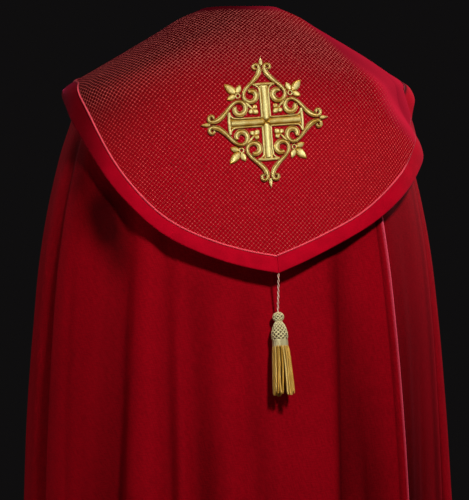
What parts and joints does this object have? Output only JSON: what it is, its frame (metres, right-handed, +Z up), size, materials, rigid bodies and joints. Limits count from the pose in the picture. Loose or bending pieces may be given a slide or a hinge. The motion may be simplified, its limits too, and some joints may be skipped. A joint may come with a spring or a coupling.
{
  "type": "cope vestment",
  "caption": "Full-length open-fronted church cloak, worn form: pleated mantle, shield-shaped hood with velvet band, embroidered gold cross and hanging tassel.",
  "frame": {"origin": "middle of the neck opening, level with the top of the shoulders, where the wearer holds the cope up", "axes": "+Z up, +Y out of the wearer's back where the hood hangs, +X to the wearer's left"},
  "size_m": [0.7948, 0.6266, 1.4211],
  "materials": {
    "mantle_cloth": "deep red plain-woven cloth with a low sheen",
    "hood_brocade": "deep red cloth with a fine diagonal lattice in pale metallic thread",
    "band_velvet": "bright crimson velvet",
    "piping_cord": "light red satin cord",
    "gold_thread": "gold satin-stitch thread"
  },
  "bodies": {
    "root": {"cross_arm_1": "gold_thread", "cross_arm_2": "gold_thread", "cross_arm_3": "gold_thread", "cross_arm_4": "gold_thread", "crosslet_1": "gold_thread", "crosslet_2": "gold_thread", "crosslet_3": "gold_thread", "crosslet_4": "gold_thread", "finial_1": "gold_thread", "finial_2": "gold_thread", "finial_3": "gold_thread", "finial_4": "gold_thread", "hood_band_left": "band_velvet", "hood_band_right": "band_velvet", "hood_panel": "hood_brocade", "hood_piping_left": "piping_cord", "hood_piping_right": "piping_cord", "leaf_1": "gold_thread", "leaf_2": "gold_thread", "leaf_3": "gold_thread", "leaf_4": "gold_thread", "mantle_back": "mantle_cloth", "mantle_left": "mantle_cloth", "mantle_right": "mantle_cloth", "morse_tab": "band_velvet", "scroll_1": "gold_thread", "scroll_2": "gold_thread", "scroll_3": "gold_thread", "scroll_4": "gold_thread", "scroll_5": "gold_thread", "scroll_6": "gold_thread", "scroll_7": "gold_thread", "scroll_8": "gold_thread", "tassel_collar": "gold_thread", "tassel_cord": "gold_thread", "tassel_head": "gold_thread", "tassel_knob": "gold_thread", "tassel_skirt": "gold_thread"}
  },
  "joints": []
}
